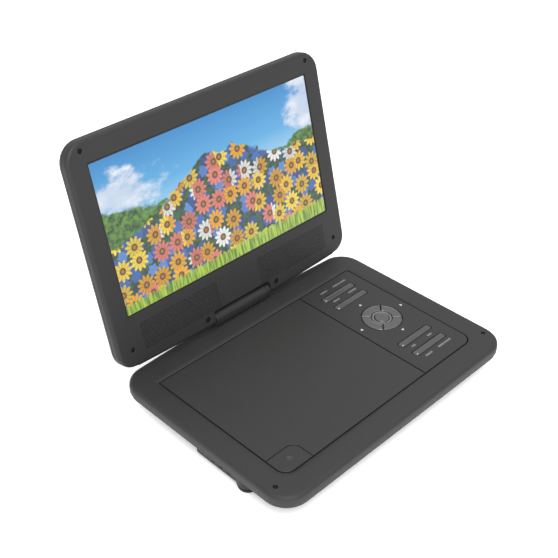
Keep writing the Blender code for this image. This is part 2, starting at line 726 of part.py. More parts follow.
def lid_front_bezel(lid):
    s = EDGE_ROUND
    back = LID_SPLIT - GAP / 2
    rings = [
        upright(lid_outline(0.0), back),
        upright(lid_outline(0.0), LID_FRONT + s),
        upright(lid_outline(0.13 * s), LID_FRONT + 0.5 * s),
        upright(lid_outline(0.5 * s), LID_FRONT + 0.13 * s),
        upright(lid_outline(s), LID_FRONT),
        upright(screen_outline(-0.5), LID_FRONT),
        upright(screen_outline(0.0), LID_FRONT + 0.5),
        upright(screen_outline(0.0), LID_FRONT + 1.5),
        upright(screen_outline(-2.0), LID_FRONT + 1.5),
        upright(lid_outline(s + 1.0, LID_SOLID_EDGE + 3.5), LID_FRONT + 1.6),
        upright(lid_outline(SKIN, LID_SOLID_EDGE + 4.7), LID_FRONT + s + 1.0),
        upright(lid_outline(SKIN, LID_SOLID_EDGE + 4.7), back),
    ]
    bezel = add_object("lid_front_bezel", loft(rings, closed=True),
                       dict(colour=BODY_GREY, roughness=0.6), parent=lid)
    holes = [
        turned([(radius, LID_FRONT - 1), (radius, LID_FRONT + 1.1)], (x, 0, z), "Y", 16)
        for places, radius in ((PLUGS, PLUG_RADIUS + GAP), (CAPS, CAP_HOLE_RADIUS))
        for x, z in places
    ]
    boolean(bezel, merge(*holes))
    boolean(bezel, hinge_notch())
    boolean(bezel, shaft_bore())


def hinge_notch():
    return box((-NOTCH_HALF, LID_FRONT - 3, -8), (NOTCH_HALF, LID_BACK + 3, NOTCH_TOP))


def shaft_bore():
    radius = SHAFT_RADIUS + GAP
    return turned([(radius, -46.6), (radius, 46.6)], (0, 0, 0), "X", 20)


def lid_back_cover(lid):
    s = EDGE_ROUND
    front = LID_SPLIT + GAP / 2
    rings = [
        upright(lid_outline(SKIN + 1.6, LID_SOLID_EDGE + 3.1), LID_BACK - SKIN),
        upright(lid_outline(SKIN, LID_SOLID_EDGE + 4.7), LID_BACK - SKIN - 1.6),
        upright(lid_outline(SKIN, LID_SOLID_EDGE + 4.7), front),
        upright(lid_outline(0.0), front),
        upright(lid_outline(0.0), LID_BACK - s),
        upright(lid_outline(0.13 * s), LID_BACK - 0.5 * s),
        upright(lid_outline(0.5 * s), LID_BACK - 0.13 * s),
        upright(lid_outline(s), LID_BACK),
    ]
    cover = add_object("lid_back_cover", loft(rings), dict(colour=DARK_GREY, roughness=0.6),
                       parent=lid)
    boolean(cover, hinge_notch())
    boolean(cover, shaft_bore())


def lid_insides(lid):
    panel = prism(screen_outline(GAP), LID_FRONT + 0.7, LID_FRONT + 2.6, upright)
    glass = dict(colour=(0.10, 0.25, 0.45), roughness=0.2, glow=0.6)
    add_object("lcd_panel", panel, glass, parent=lid)
    frame = box((-116.5, LID_FRONT + 2.9, 37.6), (116.5, LID_FRONT + 5.6, 172.0))
    add_object("lcd_backlight", frame, dict(colour=STEEL, roughness=0.4, metallic=1.0), parent=lid)
    board = box((-30.0, 0.4, 17.0), (30.0, 1.8, 35.0))
    add_object("screen_board", board, dict(colour=BOARD_GREEN, roughness=0.5), parent=lid)
    for side, name in ((-1, "speaker_left"), (1, "speaker_right")):
        x = side * 66.0
        cone = rounded(x - 19, x + 19, 15.5, 34.5, (9,) * 4)
        speaker = prism(cone, LID_FRONT + 2.0, 1.5, upright)
        add_object(name, speaker, dict(colour=(0.04, 0.04, 0.045), roughness=0.6), parent=lid)


def lid_small_pieces(lid):
    names = ("lid_plug_low_left", "lid_plug_low_right", "lid_plug_top_left", "lid_plug_top_right")
    for name, (x, z) in zip(names, PLUGS):
        plug = turned([(PLUG_RADIUS - 0.4, LID_FRONT + 0.35), (PLUG_RADIUS, LID_FRONT + 0.6),
                       (PLUG_RADIUS, LID_FRONT + 0.9)], (x, 0, z), "Y", 16)
        add_object(name, plug, dict(colour=RUBBER, roughness=0.85), parent=lid)
    for name, (x, z) in zip(("hinge_cap_left", "hinge_cap_right"), CAPS):
        cap = turned([(1.7, LID_FRONT + 0.25), (2.1, LID_FRONT + 0.5), (2.1, LID_FRONT + 0.9)],
                     (x, 0, z), "Y", 16)
        add_object(name, cap, dict(colour=RUBBER, roughness=0.7), parent=lid)


# ---------------------------------------------------------------- assembly

def build():
    clear_scene()
    base_top_cover()
    base_bottom_cover()
    feet()
    bumpers()
    disc_door()
    open_button_and_latch()
    control_panel()
    bar_keys()
    nav_keys()
    keypad()
    disc_deck()
    disc_drive()
    boards_and_battery()
    side_controls()
    swivel = empty("swivel_axis", device(0, AXIS_Y, 0))
    swivel_hinge(swivel)
    lid = empty("tilt_axis", Vector((0, 0, AXIS_Z * MM)), -LEAN, swivel)
    lid_front_bezel(lid)
    lid_back_cover(lid)
    lid_insides(lid)
    lid_small_pieces(lid)
    bpy.context.view_layer.update()


build()
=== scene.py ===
"""The looks of the portable disc player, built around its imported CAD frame.

Lengths are in millimetres until device() or lid() turns them into places in the scene.
Two frames are used: the device frame, with X to the viewer's right, Y backwards and Z up
from the base's top surface, and the lid frame, with X as before, W from the screen to the
lid's back and V up the lid, both counted from the tilt axis.
"""

import json
import math
import random

import bmesh
import bpy
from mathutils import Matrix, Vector


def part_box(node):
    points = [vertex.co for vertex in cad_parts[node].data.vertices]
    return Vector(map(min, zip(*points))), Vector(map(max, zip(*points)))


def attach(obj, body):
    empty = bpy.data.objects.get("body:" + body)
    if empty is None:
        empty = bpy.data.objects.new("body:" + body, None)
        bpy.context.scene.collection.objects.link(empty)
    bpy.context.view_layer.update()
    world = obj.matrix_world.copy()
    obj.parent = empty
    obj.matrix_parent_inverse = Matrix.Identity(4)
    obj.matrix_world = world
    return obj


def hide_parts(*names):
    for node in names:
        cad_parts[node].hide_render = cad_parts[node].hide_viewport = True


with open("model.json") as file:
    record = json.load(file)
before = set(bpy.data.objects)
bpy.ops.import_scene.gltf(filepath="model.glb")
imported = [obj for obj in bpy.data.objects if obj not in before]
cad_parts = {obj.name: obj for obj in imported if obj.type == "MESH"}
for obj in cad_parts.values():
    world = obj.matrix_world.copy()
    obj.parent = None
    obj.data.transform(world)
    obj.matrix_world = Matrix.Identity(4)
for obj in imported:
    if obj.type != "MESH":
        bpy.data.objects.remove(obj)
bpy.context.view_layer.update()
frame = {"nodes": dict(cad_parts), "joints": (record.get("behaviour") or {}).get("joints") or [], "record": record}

MM = 0.001

# Camera
LENS = 64.0
CAMERA_AZIMUTH = math.radians(-44.76)
CAMERA_ELEVATION = math.radians(35.33)
CAMERA_DISTANCE = 0.78125
CAMERA_TARGET = Vector((-0.005, 0.0154, 0.0896))

# The base, and the lid that stands open on it
EDGE_TO_AXIS = 2.2
LEAN = math.radians(13.9)
LID_HALF_WIDTH = 128.35
LID_TOP = 185.4
LID_BOTTOM = -1.4
LID_TOP_CORNER = 17.5
LID_LOW_CORNER = 15.0
LID_BOW = 2.0
LID_BOW_REACH = 100.0
LID_LOW_RISE = 1.2
LID_FRONT = -5.7
LID_SPLIT = 0.85
EDGE_ROUND = 3.2
SCREEN_HALF = 111.7
SCREEN_LOW = 41.7
SCREEN_HIGH = 167.8
NOTCH_HALF = 31.5
NOTCH_TOP = 8.4
LID_WALL = 2.0
LID_SOLID_EDGE = 12.3
PLUG_PLACES = ((-114.4, 14.9), (114.4, 14.9), (-114.4, 178.3), (114.4, 178.3))
PLUG_HOLE = 1.9
CAP_PLACES = ((-39.4, 4.6), (39.4, 4.6))
CAP_HOLE = 2.4
POCKET_DEPTH = 1.1

# Loudspeaker perforations, as windows in the lid's front
GRILLE_X = (22.0, 104.0)
GRILLE_V = (9.6, 33.4)
GRILLE_PITCH = 1.36
GRILLE_HOLE = 0.45
GRILLE_DEPTH = 0.9
ROW_PITCH = 0.87 * GRILLE_PITCH


def joint_place(name):
    for joint in frame["joints"]:
        if joint["name"] == name:
            return Vector(joint["pos_m"])
    raise KeyError(name)


TILT_AXIS = joint_place("screen_tilt")
BASE_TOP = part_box("base_top_cover")[1].z
DEVICE_ORIGIN = Vector((0.0, TILT_AXIS.y + EDGE_TO_AXIS * MM, BASE_TOP))


def device(x, y, z):
    return DEVICE_ORIGIN + Vector((x, y, z)) * MM


def lid(x, w, v):
    across = Vector((0, math.cos(LEAN), -math.sin(LEAN)))
    up = Vector((0, math.sin(LEAN), math.cos(LEAN)))
    return TILT_AXIS + (Vector((1, 0, 0)) * x + across * w + up * v) * MM


# ---------------------------------------------------------------- material graphs

SCREEN_SHAPE = 1.777
PLAIN_SHINE = 0.36

class Graph:
    """A material's node graph, written as sums rather than as boxes and wires."""

    def __init__(self, name):
        self.material = bpy.data.materials.new(name)
        self.material.use_nodes = True
        self.tree = self.material.node_tree
        self.shader = self.tree.nodes["Principled BSDF"]

    def node(self, kind, **settings):
        made = self.tree.nodes.new("ShaderNode" + kind)
        for key, value in settings.items():
            setattr(made, key, value)
        return made

    def put(self, socket, value):
        if isinstance(value, bpy.types.NodeSocket):
            self.tree.links.new(value, socket)
        else:
            socket.default_value = value

    def math(self, operation, *values):
        made = self.node("Math", operation=operation)
        for socket, value in zip(made.inputs, values):
            self.put(socket, value)
        return made.outputs[0]

    def vector(self, operation, *values):
        made = self.node("VectorMath", operation=operation)
        for socket, value in zip(made.inputs, values):
            self.put(socket, value)
        return made.outputs["Value" if operation in ("DOT_PRODUCT", "LENGTH") else "Vector"]

    def scaled(self, vector, factor):
        made = self.node("VectorMath", operation="SCALE")
        self.put(made.inputs["Vector"], vector)
        self.put(made.inputs["Scale"], factor)
        return made.outputs["Vector"]

    def combine(self, x, y, z=0.0):
        made = self.node("CombineXYZ")
        for socket, value in zip(made.inputs, (x, y, z)):
            self.put(socket, value)
        return made.outputs[0]

    def split(self, vector):
        made = self.node("SeparateXYZ")
        self.put(made.inputs[0], vector)
        return made.outputs

    def place(self):
        return self.node("TexCoord").outputs["Object"]

    def noise(self, where, scale, detail=3.0, roughness=0.5):
        made = self.node("TexNoise")
        self.put(made.inputs["Vector"], where)
        made.inputs["Scale"].default_value = scale
        made.inputs["Detail"].default_value = detail
        made.inputs["Roughness"].default_value = roughness
        return made.outputs["Fac"]

    def cells(self, where, scale, randomness=1.0, flat=False):
        made = self.node("TexVoronoi", voronoi_dimensions="2D" if flat else "3D")
        self.put(made.inputs["Vector"], where)
        made.inputs["Scale"].default_value = scale
        made.inputs["Randomness"].default_value = randomness
        return made.outputs

    def step(self, value, low, high):
        """0 below low, 1 above high, smooth between; low may be above high."""
        made = self.node("MapRange", interpolation_type="SMOOTHSTEP")
        for key, given in (("Value", value), ("From Min", low), ("From Max", high)):
            self.put(made.inputs[key], given)
        return made.outputs[0]

    def mix(self, factor, first, second):
        made = self.node("Mix", data_type="RGBA")
        self.put(made.inputs[0], factor)
        self.put(made.inputs[6], first if not isinstance(first, tuple) else (*first, 1.0))
        self.put(made.inputs[7], second if not isinstance(second, tuple) else (*second, 1.0))
        return made.outputs[2]

    def ramp(self, value, stops, hard=False):
        made = self.node("ValToRGB")
        ramp = made.color_ramp
        ramp.interpolation = "CONSTANT" if hard else "LINEAR"
        while len(ramp.elements) < len(stops):
            ramp.elements.new(0.5)
        for element, (at, colour) in zip(ramp.elements, stops):
            element.position = at
            element.color = (*colour, 1.0)
        self.put(made.inputs[0], value)
        return made.outputs[0]

    def edge_rounding(self, radius):
        """The rounded-edge normal, and how near a point is to a sharp edge."""
        bevel = self.node("Bevel", samples=6)
        bevel.inputs["Radius"].default_value = radius
        flat = self.node("NewGeometry").outputs["Normal"]
        turn = self.math("SUBTRACT", 1.0, self.vector("DOT_PRODUCT", bevel.outputs[0], flat))
        return bevel.outputs[0], self.step(turn, 0.0, 0.12)

    def bump(self, height, depth, strength=1.0, normal=None):
        made = self.node("Bump")
        made.inputs["Strength"].default_value = strength
        made.inputs["Distance"].default_value = depth
        self.put(made.inputs["Height"], height)
        if normal is not None:
            self.put(made.inputs["Normal"], normal)
        return made.outputs[0]

    def finish(self, **sockets):
        for key, value in sockets.items():
            name = key.replace("_", " ").title()
            self.put(self.shader.inputs[name], (*value, 1.0) if isinstance(value, tuple) else value)
        return self.material


def moulded(name, colour, roughness, grain=0.00002, edge=0.35, edge_radius=0.5 * MM, shine=PLAIN_SHINE):
    """Moulded plastic: a fine spark-eroded grain, faint flow marks, and edges lightened partly as rubbed wear and
    partly as painted highlight.
    """
    g = Graph(name)
    where = g.place()
    normal, near_edge = g.edge_rounding(edge_radius)
    cloud = g.noise(where, 38.0, 4.0)
    fine = g.noise(where, 1900.0, 2.0)
    speck = g.noise(where, 620.0, 3.0, 0.65)
    dark = tuple(c * 0.96 for c in colour)
    light = tuple(c * 1.04 for c in colour)
    # The pale colour below serves the lighter specks, and the edges' wear and painted highlight.
    pale_speck_and_edge_highlight = tuple(min(1.0, c * 1.7 + 0.012) for c in colour)
    base = g.mix(g.step(cloud, 0.35, 0.65), dark, light)
    base = g.mix(g.math("MULTIPLY", g.step(speck, 0.45, 0.75), 0.18), base, pale_speck_and_edge_highlight)
    # Edges are lightened, partly as rubbed wear and partly as painted highlight where light catches their
    # rounding; edge sets the amount.
    edge_wear_and_highlight = g.math("MULTIPLY", near_edge, g.math("MULTIPLY_ADD", g.step(cloud, 0.3, 0.7), 0.5 * edge, 0.5 * edge))
    base = g.mix(edge_wear_and_highlight, base, pale_speck_and_edge_highlight)
    rough = g.math("MULTIPLY_ADD", cloud, 0.16, roughness - 0.08)
    rough = g.math("MULTIPLY_ADD", speck, 0.08, g.math("SUBTRACT", rough, 0.04))
    height = g.math("ADD", fine, g.math("MULTIPLY", speck, 1.5))
    g.finish(base_color=base, roughness=rough, normal=g.bump(height, grain, 0.9, normal))
    g.shader.inputs["Specular IOR Level"].default_value = shine
    return g.material


def hole_shade(name):
    """Near-black painted shade for the walls and floors of the perforations and the round pockets, with a faint
    weave.
    """
    g = Graph(name)
    weave = g.noise(g.place(), 2500.0, 2.0)
    g.finish(base_color=g.mix(weave, (0.001, 0.001, 0.001), (0.004, 0.004, 0.004)),
             roughness=g.math("MULTIPLY_ADD", weave, 0.1, 0.88))
    g.shader.inputs["Specular IOR Level"].default_value = 0.1
    return g.material


def rubber(name, colour):
    """Matt rubber with dust in its pores."""
    g = Graph(name)
    where = g.place()
    normal, near_edge = g.edge_rounding(0.4 * MM)
    dust = g.noise(where, 260.0, 5.0, 0.7)
    dusty = tuple(c * 2.6 + 0.004 for c in colour)
    base = g.mix(g.math("MULTIPLY", g.step(dust, 0.5, 0.8), 0.5), colour, dusty)
    base = g.mix(g.math("MULTIPLY", near_edge, 0.4), base, dusty)
    rough = g.math("MULTIPLY_ADD", dust, 0.2, 0.68)
    g.finish(base_color=base, roughness=rough, normal=g.bump(dust, 0.00006, 0.7, normal))
    g.shader.inputs["Specular IOR Level"].default_value = 0.22
    return g.material


def steel(name, colour, roughness):
    """Rolled or turned steel, with fine streaks along X and a few dull patches."""
    g = Graph(name)
    where = g.place()
    streak = g.noise(g.vector("MULTIPLY", where, (60.0, 2400.0, 2400.0)), 1.0, 3.0)
    patch = g.noise(where, 90.0, 4.0)
    normal, near_edge = g.edge_rounding(0.25 * MM)
    dull = tuple(c * 0.72 for c in colour)
    base = g.mix(g.step(patch, 0.4, 0.7), colour, dull)
    rough = g.math("MULTIPLY_ADD", streak, 0.22, roughness - 0.08)
    rough = g.math("SUBTRACT", rough, g.math("MULTIPLY", near_edge, 0.08))
    g.finish(base_color=base, roughness=rough, normal=g.bump(streak, 0.000012, 0.6, normal))
    g.shader.inputs["Metallic"].default_value = 1.0
    return g.material


def circuit_board(name):
    """Green solder mask over a net of copper tracks, with tinned pads."""
    g = Graph(name)
    where = g.place()
    x, y, _ = g.split(where)
    track = g.cells(where, 240.0, 0.6)
    bent = g.math("ADD", x, g.math("MULTIPLY", track["Distance"], 0.004))
    line = g.math("FRACT", g.math("MULTIPLY", bent, 420.0))
    copper = g.step(g.math("ABSOLUTE", g.math("SUBTRACT", line, 0.5)), 0.30, 0.36)
    pads = g.cells(g.combine(x, y), 330.0, 0.25, flat=True)["Distance"]
    pad = g.step(pads, 0.20, 0.15)
    base = g.mix(copper, (0.012, 0.085, 0.035), (0.025, 0.16, 0.06))
    base = g.mix(pad, base, (0.62, 0.60, 0.55))
    rough = g.math("MULTIPLY_ADD", g.noise(where, 300.0), 0.2, 0.25)
    height = g.math("ADD", copper, pad)
    return g.finish(base_color=base, roughness=rough, normal=g.bump(height, 0.00003, 0.8))


def battery_wrap(name):
    """Blue shrink film, creased across the cell."""
    g = Graph(name)
    where = g.place()
    wrinkle = g.noise(g.vector("MULTIPLY", where, (1.0, 5.0, 1.0)), 70.0, 4.0)
    base = g.mix(g.step(wrinkle, 0.35, 0.7), (0.012, 0.05, 0.20), (0.03, 0.10, 0.34))
    rough = g.math("MULTIPLY_ADD", wrinkle, 0.25, 0.15)
    return g.finish(base_color=base, roughness=rough, normal=g.bump(wrinkle, 0.0004, 0.6))


def pickup_glass(name):
    g = Graph(name)
    where = g.place()
    rings = g.noise(where, 900.0, 2.0)
    base = g.mix(rings, (0.05, 0.10, 0.30), (0.25, 0.08, 0.35))
    g.finish(base_color=base, roughness=g.math("MULTIPLY_ADD", rings, 0.05, 0.04))
    g.shader.inputs["Coat Weight"].default_value = 1.0
    return g.material


def print_ink(name, colour):
    g = Graph(name)
    worn = g.noise(g.place(), 1500.0, 3.0)
    base = g.mix(g.step(worn, 0.35, 0.75), colour, tuple(c * 0.6 for c in colour))
    return g.finish(base_color=base, roughness=g.math("MULTIPLY_ADD", worn, 0.2, 0.45))


def flower(g, cell, where, petals, radius):
    """How far a point is inside a flower's petals and its heart."""
    x, y, _ = g.split(g.vector("SUBTRACT", where, cell["Position"]))
    angle = g.math("MULTIPLY", g.math("ARCTAN2", y, x), float(petals))
    edge = g.math("MULTIPLY_ADD", g.math("COSINE", angle), 0.16 * radius, radius)
    return (g.step(g.math("SUBTRACT", cell["Distance"], edge), 0.03, -0.03),
            g.step(cell["Distance"], 0.42 * radius, 0.36 * radius), angle)


def landscape(name):
    """The picture on the screen: sky, clouds, trees and a bank of garden flowers."""
    g = Graph(name)
    u, v, _ = g.split(g.node("UVMap", uv_map="screen").outputs[0])
    wide = g.math("MULTIPLY", u, SCREEN_SHAPE)
    where = g.combine(wide, v)

    sky = ((0.45, (0.50, 0.76, 0.92)), (0.72, (0.10, 0.42, 0.76)), (1.0, (0.025, 0.25, 0.60)))
    picture = g.ramp(v, sky)
    puff = g.noise(g.combine(wide, g.math("MULTIPLY", v, 1.5)), 4.2, 7.0, 0.58)
    reaches = []
    for centre, squeeze in (((0.13, 0.74, 0.0), (2.6, 6.0, 0.0)), ((1.72, 0.82, 0.0), (4.2, 3.6, 0.0))):
        away = g.vector("SUBTRACT", where, centre)
        reaches.append(g.vector("LENGTH", g.vector("MULTIPLY", away, squeeze)))
    near = g.math("SUBTRACT", 1.0, g.math("MINIMUM", *reaches))
    cloud = g.step(g.math("MULTIPLY_ADD", near, 0.35, puff), 0.52, 0.72)
    shade = g.mix(g.step(puff, 0.45, 0.75), (0.55, 0.66, 0.82), (0.95, 0.96, 0.98))
    picture = g.mix(cloud, picture, shade)

    leafy = g.noise(where, 22.0, 6.0, 0.7)
    side = g.math("ABSOLUTE", g.math("SUBTRACT", u, 0.52))
    crowns = g.math("MULTIPLY", g.noise(where, 7.0, 5.0, 0.6), 0.16)
    trees = g.math("ADD", g.math("MULTIPLY_ADD", side, 0.34, 0.42), crowns)
    wood = g.mix(g.step(leafy, 0.35, 0.65), (0.008, 0.045, 0.008), (0.13, 0.32, 0.04))
    picture = g.mix(g.step(g.math("SUBTRACT", v, trees), 0.012, -0.012), picture, wood)

    middle = g.math("DIVIDE", g.math("SUBTRACT", u, 0.50), 0.24)
    hill = g.math("EXPONENT", g.math("MULTIPLY", g.math("MULTIPLY", middle, middle), -1.0))
    top = g.math("MULTIPLY_ADD", hill, 0.26, g.math("MULTIPLY_ADD", u, 0.13, 0.36))
    top = g.math("ADD", top, g.math("MULTIPLY", g.noise(where, 9.0, 3.0), 0.16))
    bank = g.step(g.math("SUBTRACT", v, top), 0.008, -0.008)

    back = g.cells(where, 11.0, 0.9, flat=True)
    blue, _, _ = flower(g, back, where, 6, 0.40)
    under = g.mix(g.step(leafy, 0.4, 0.6), (0.010, 0.035, 0.030), (0.035, 0.12, 0.05))
    tint = g.split(back["Color"])[0]
    blues = ((0.0, (0.015, 0.06, 0.22)), (0.55, (0.03, 0.12, 0.42)), (1.0, (0.10, 0.26, 0.62)))
    bed = g.mix(blue, under, g.ramp(tint, blues))

    front = g.cells(where, 7.6, 0.72, flat=True)
    petal, heart, angle = flower(g, front, where, 11, 0.46)
    kind, light, _ = g.split(front["Color"])
    kind = g.math("ADD", kind, g.math("MULTIPLY", hill, 0.42))
    colours = g.ramp(kind, (
        (0.0, (0.90, 0.56, 0.02)), (0.30, (0.98, 0.72, 0.05)), (0.60, (0.86, 0.42, 0.01)),
        (0.88, (0.90, 0.90, 0.86)), (1.0, (0.80, 0.22, 0.16)),
    ), hard=True)
    fade = g.math("MULTIPLY_ADD", g.math("COSINE", angle), 0.14, g.math("MULTIPLY_ADD", light, 0.35, 0.62))
    colours = g.scaled(colours, fade)
    hearts = g.mix(g.step(g.noise(where, 160.0), 0.4, 0.6), (0.05, 0.018, 0.006), (0.26, 0.11, 0.02))
    ring = g.step(front["Distance"], 0.10, 0.06)
    bed = g.mix(petal, bed, colours)
    bed = g.mix(heart, bed, hearts)
    bed = g.mix(ring, bed, (0.36, 0.20, 0.04))
    picture = g.mix(bank, picture, bed)

    blades = g.noise(g.combine(g.math("MULTIPLY", wide, 60.0), g.math("MULTIPLY", v, 7.0)), 1.0, 3.0)
    lawn = g.mix(g.step(blades, 0.35, 0.65), (0.10, 0.24, 0.015), (0.46, 0.62, 0.06))
    verge = g.math("MULTIPLY_ADD", blades, 0.08, g.math("MULTIPLY_ADD", u, 0.04, 0.03))
    picture = g.mix(g.step(g.math("SUBTRACT", v, verge), 0.006, -0.006), picture, lawn)

    g.finish(base_color=(0.008, 0.008, 0.01), emission_color=picture)
    g.shader.inputs["Emission Strength"].default_value = 0.95
    g.put(g.shader.inputs["Roughness"], g.math("MULTIPLY_ADD", g.noise(where, 400.0, 2.0), 0.06, 0.20))
    g.put(g.shader.inputs["Normal"], g.bump(g.noise(where, 1200.0, 2.0), 0.000004, 0.3))
    return g.material


BODY = moulded("body_grey_plastic", (0.0168, 0.0168, 0.0172), 0.55)
SHELL = moulded("lid_grey_plastic", (0.0150, 0.0150, 0.0154), 0.55)
DARK = moulded("dark_grey_plastic", (0.0155, 0.0155, 0.016), 0.62)
# The keys and the wheel get large edge values, which paint highlight along their rounded shoulders.
KEYS = moulded("key_grey_plastic", (0.050, 0.050, 0.051), 0.34, 0.00001, 1.6, 0.45 * MM)
WHEEL = moulded("wheel_grey_plastic", (0.036, 0.036, 0.037), 0.22, 0.00001, 2.0, 0.55 * MM, 0.9)
SATIN = moulded("satin_ring", (0.12, 0.12, 0.122), 0.30, 0.00001, 0.5, 0.3 * MM)
BLACK = moulded("black_plastic", (0.010, 0.010, 0.011), 0.42)
CREAM_PLASTIC = moulded("cream_plastic", (0.55, 0.53, 0.45), 0.45)
BLACK_RUBBER = rubber("black_rubber", (0.002, 0.002, 0.0022))
FOOT_RUBBER = rubber("foot_rubber", (0.020, 0.020, 0.0205))
STEEL = steel("steel", (0.58, 0.58, 0.60), 0.34)
BOARD = circuit_board("circuit_board")
WRAP = battery_wrap("battery_wrap")
LENS_GLASS = pickup_glass("pickup_glass")
PAINTED_HOLE_SHADE = hole_shade("painted_hole_shade")
GRILLE = moulded("grille_grey_plastic", (0.024, 0.024, 0.0244), 0.50, edge=0.0, edge_radius=0.02 * MM)
INK = print_ink("grey_print", (0.20, 0.20, 0.205))
FAINT_INK = print_ink("faint_print", (0.036, 0.036, 0.037))
WHITE_INK = print_ink("pale_print", (0.56, 0.56, 0.57))
PICTURE = landscape("screen_picture")

SLOT_MATERIALS = {
    "body_plastic": BODY, "dark_plastic": DARK, "key_plastic": KEYS, "silver_ring": SATIN,
    "rubber": BLACK_RUBBER, "black_plastic": BLACK, "steel": STEEL, "circuit_board": BOARD,
    "battery_wrap": WRAP, "cream_plastic": CREAM_PLASTIC, "lens": LENS_GLASS, "screen": BLACK,
}
NODE_MATERIALS = {
    "lid_back_cover": SHELL, "hinge_barrel": SHELL, "barrel_cap_left": SHELL, "barrel_cap_right": SHELL,
    "base_bottom_cover": SHELL, "disc_deck": DARK,
    "foot_front_left": FOOT_RUBBER, "foot_front_right": FOOT_RUBBER,
    "foot_back_left": FOOT_RUBBER, "foot_back_right": FOOT_RUBBER,
}
SMOOTH_ANGLE = math.radians(32)
WELD = 0.00001


def dress_nodes():
    """Gives each CAD node its material, and shades its facets as the round faces they stand for."""
    slots = {part["node"]: part["material_slot"] for part in frame["record"]["subparts"]}
    for name, piece in frame["nodes"].items():
        finish = NODE_MATERIALS.get(name, SLOT_MATERIALS[slots[name]])
        piece.data.materials.clear()
        piece.data.materials.append(finish)
        smooth(piece)


def smooth(piece):
    for face in piece.data.polygons:
        face.use_smooth = True
    weld = piece.modifiers.new("weld", "WELD")
    weld.merge_threshold = WELD
    split = piece.modifiers.new("split", "EDGE_SPLIT")
    split.split_angle = SMOOTH_ANGLE
    piece.modifiers.new("weighted", "WEIGHTED_NORMAL").weight = 80


# ---------------------------------------------------------------- mesh helpers

def add_piece(name, mesh, finish, body):
    data = bpy.data.meshes.new(name)
    mesh.to_mesh(data)
    mesh.free()
    made = bpy.data.objects.new(name, data)
    bpy.context.scene.collection.objects.link(made)
    data.materials.append(finish)
    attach(made, body)
    return made


def arc(centre_x, centre_y, radius, start, steps=20):
    return [
        (centre_x + radius * math.cos(start + math.pi / 2 * i / steps),
         centre_y + radius * math.sin(start + math.pi / 2 * i / steps))
        for i in range(steps + 1)
    ]


def rounded(left, right, low, high, radius, steps=6):
    points = arc(left + radius, low + radius, radius, math.pi, steps)
    points += arc(right - radius, low + radius, radius, 1.5 * math.pi, steps)
    points += arc(right - radius, high - radius, radius, 0.0, steps)
    points += arc(left + radius, high - radius, radius, 0.5 * math.pi, steps)
    return points


def circle(x, y, radius, steps=24):
    return [
        (x + radius * math.cos(math.tau * i / steps), y + radius * math.sin(math.tau * i / steps))
        for i in range(steps)
    ]


def ring(mesh, points, place):
    return [mesh.verts.new(place(*p)) for p in points]


def join(mesh, first, second):
    """Quads between two rings of the same length."""
    count = len(first)
    return [
        mesh.faces.new((first[i], first[(i + 1) % count], second[(i + 1) % count], second[i]))
        for i in range(count)
    ]


def patch(mesh, points, low, high):
    """A thin closed plate on the device, between two heights."""
    under = ring(mesh, points, lambda x, y: device(x, y, low))
    over = ring(mesh, points, lambda x, y: device(x, y, high))
    return join(mesh, under, over) + [mesh.faces.new(over), mesh.faces.new(under[::-1])]


def fill(mesh, *loops):
    """A flat face whose outer edge is the first loop and whose holes are the others."""
    edges = []
    for loop in loops:
        for a, b in zip(loop, loop[1:] + loop[:1]):
            edges.append(mesh.edges.get((a, b)) or mesh.edges.new((a, b)))
    bmesh.ops.triangle_fill(mesh, edges=edges, use_beauty=True, use_dissolve=False)


# ---------------------------------------------------------------- lid bezel

def lid_outline(inset, edge=0.0, notch=0.0):
    """The lid's outline with its hinge notch. edge raises the low side, and notch widens the notch."""
    top = max(LID_TOP_CORNER - inset, 1.0)
    low = max(LID_LOW_CORNER - inset, 1.0)
    half = LID_HALF_WIDTH - inset
    floor = LID_BOTTOM + LID_LOW_RISE + inset + edge
    notch_half = NOTCH_HALF + notch
    notch_top = max(NOTCH_TOP + notch, floor)

    def sag(x):
        return LID_BOW * ((x / LID_BOW_REACH) ** 2 - 1.0) - LID_LOW_RISE

    points = arc(half - top, LID_TOP - inset - top, top, 0.0)
    points += arc(-half + top, LID_TOP - inset - top, top, 0.5 * math.pi)
    points += arc(-half + low, floor + low, low, math.pi)
    reach = half - low - 2.0
    along = [reach - (reach - notch_half) * i / 12 for i in range(13)]
    points += [(-x, floor + sag(x)) for x in along]
    points += [(-notch_half, notch_top), (notch_half, notch_top)]
    points += [(x, floor + sag(x)) for x in reversed(along)]
    points += arc(half - low, floor + low, low, 1.5 * math.pi)
    return points


def on_lid(depth):
    return lambda x, v: lid(x, depth, v)


def screen_outline(growth):
    return rounded(-SCREEN_HALF - growth, SCREEN_HALF + growth,
                   SCREEN_LOW - growth, SCREEN_HIGH + growth, 0.8 + max(growth, 0.0))


def pocket(mesh, x, v, radius):
    """A round pocket in the lid's front; its mouth is the returned loop."""
    lip = ring(mesh, circle(x, v, radius + 0.25), on_lid(LID_FRONT))
    mouth = ring(mesh, circle(x, v, radius), on_lid(LID_FRONT + 0.25))
    floor = ring(mesh, circle(x, v, radius), on_lid(LID_FRONT + POCKET_DEPTH))
    join(mesh, lip, mouth)
    # The pocket's wall and floor carry near-black painted shade.
    for shaded in join(mesh, mouth, floor) + [mesh.faces.new(floor)]:
        shaded.material_index = 2
    return lip


